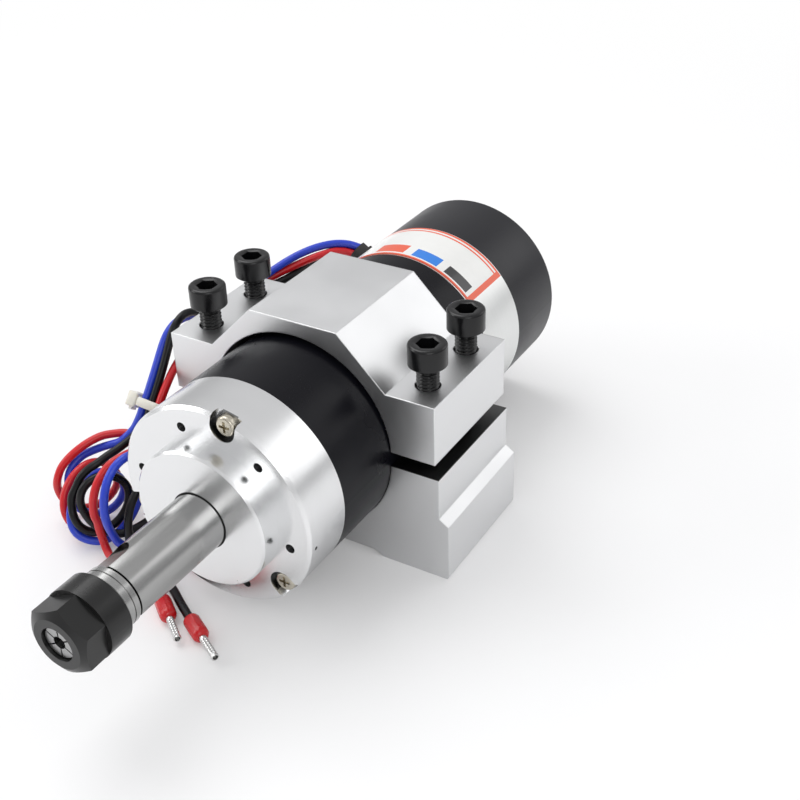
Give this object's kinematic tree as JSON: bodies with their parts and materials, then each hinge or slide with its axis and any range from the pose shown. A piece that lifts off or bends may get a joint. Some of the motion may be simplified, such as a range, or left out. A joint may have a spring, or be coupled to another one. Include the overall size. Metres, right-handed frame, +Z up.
{
  "type": "motor spindle",
  "caption": "Round motor spindle with a collet nose, held by a two-piece screw-down saddle clamp, with three leads gathered in a tied hank.",
  "frame": {"origin": "centre of the four mounting holes on the flat underside of the clamp, straight below the spindle axis", "axes": "+Z up, perpendicular to the mounting face; the spindle axis runs along Y and its nose points along -Y; +X to the right seen from behind the motor"},
  "size_m": [0.1086, 0.1896, 0.0652],
  "materials": {
    "bare_aluminium": "milled, bare, satin",
    "turned_aluminium": "turned, bare, bright",
    "black_anodised": "black anodised, satin",
    "black_screw": "black oxide, satin",
    "nickel_screw": "nickel plated",
    "bearing_steel": "ground",
    "polished_steel": "polished",
    "cage_brass": "pressed brass",
    "ground_steel": "ground, bare",
    "core_iron": "laminated, plain",
    "magnet_nickel": "nickel plated",
    "winding_copper": "enamelled copper",
    "label_film": "white film with plain colour blocks",
    "black_rubber": "moulded, matt",
    "red_lead": "silicone, semi-gloss",
    "blue_lead": "silicone, semi-gloss",
    "black_lead": "silicone, semi-gloss",
    "tie_nylon": "natural nylon",
    "sleeve_plastic": "moulded, gloss",
    "tinned_pin": "tinned"
  },
  "bodies": {
    "housing": {"clamp_base": "bare_aluminium", "motor_tube": "black_anodised", "front_housing": "turned_aluminium", "housing_screws": "nickel_screw", "lead_ring": "turned_aluminium", "rear_cover": "black_anodised", "rear_screws": "nickel_screw", "front_bearing_outer_ring": "bearing_steel", "rear_bearing_outer_ring": "bearing_steel", "bearing_retainer": "bearing_steel", "wave_washer": "bearing_steel", "stator_core": "core_iron", "stator_windings": "winding_copper", "label_plate": "label_film", "lead_gland": "black_rubber", "lead_red": "red_lead", "lead_blue": "blue_lead", "lead_black": "black_lead", "lead_hank": "red_lead", "cable_tie": "tie_nylon", "tail_red": "red_lead", "tail_blue": "blue_lead", "tail_black": "black_lead", "end_sleeves": "sleeve_plastic", "end_pins": "tinned_pin"},
    "spindle": {"spindle_shaft": "ground_steel", "rotor_core": "core_iron", "rotor_magnets": "magnet_nickel", "front_bearing_inner_ring": "bearing_steel", "rear_bearing_inner_ring": "bearing_steel", "bearing_locknut": "black_screw", "retaining_ring": "black_screw"},
    "front_cages": {"front_bearing_cage": "cage_brass", "front_bearing_balls": "polished_steel"},
    "rear_cage": {"rear_bearing_cage": "cage_brass", "rear_bearing_balls": "polished_steel"},
    "collet": {"collet": "ground_steel"},
    "nut": {"collet_nut": "black_screw", "extractor_ring": "bearing_steel"},
    "cap": {"clamp_cap": "bare_aluminium"},
    "screw_left_front": {"clamp_screw_left_front": "black_screw"},
    "screw_left_rear": {"clamp_screw_left_rear": "black_screw"},
    "screw_right_front": {"clamp_screw_right_front": "black_screw"},
    "screw_right_rear": {"clamp_screw_right_rear": "black_screw"}
  },
  "joints": [
    {"name": "spindle_spin", "type": "hinge", "parent": "housing", "child": "spindle", "pos_m": [0, -0.05, 0.03225], "axis": [0, -1, 0], "continuous": true},
    {"name": "front_cage_turn", "type": "hinge", "parent": "housing", "child": "front_cages", "pos_m": [0, -0.05, 0.03225], "axis": [0, -1, 0], "continuous": true},
    {"name": "rear_cage_turn", "type": "hinge", "parent": "housing", "child": "rear_cage", "pos_m": [0, 0.0645, 0.03225], "axis": [0, -1, 0], "continuous": true},
    {"name": "collet_slide", "type": "slide", "parent": "spindle", "child": "collet", "axis": [0, -1, 0], "range_m": [0, 0.00525]},
    {"name": "nut_turn", "type": "hinge", "parent": "collet", "child": "nut", "pos_m": [0, -0.1, 0.03225], "axis": [0, -1, 0], "range_deg": [0, 2520]},
    {"name": "cap_close", "type": "slide", "parent": "housing", "child": "cap", "axis": [0, 0, -1], "range_m": [0, 0.0013]},
    {"name": "screw_left_front_drive", "type": "slide", "parent": "housing", "child": "screw_left_front", "axis": [0, 0, -1], "range_m": [0, 0.0059]},
    {"name": "screw_left_rear_drive", "type": "slide", "parent": "housing", "child": "screw_left_rear", "axis": [0, 0, -1], "range_m": [0, 0.0059]},
    {"name": "screw_right_front_drive", "type": "slide", "parent": "housing", "child": "screw_right_front", "axis": [0, 0, -1], "range_m": [0, 0.0059]},
    {"name": "screw_right_rear_drive", "type": "slide", "parent": "housing", "child": "screw_right_rear", "axis": [0, 0, -1], "range_m": [0, 0.0059]}
  ],
  "couplings": [
    {"joint": "front_cage_turn", "follows": "spindle_spin", "ratio": 0.385},
    {"joint": "rear_cage_turn", "follows": "spindle_spin", "ratio": 0.37222},
    {"joint": "nut_turn", "follows": "collet_slide", "rad_per_m": 8377.6}
  ]
}
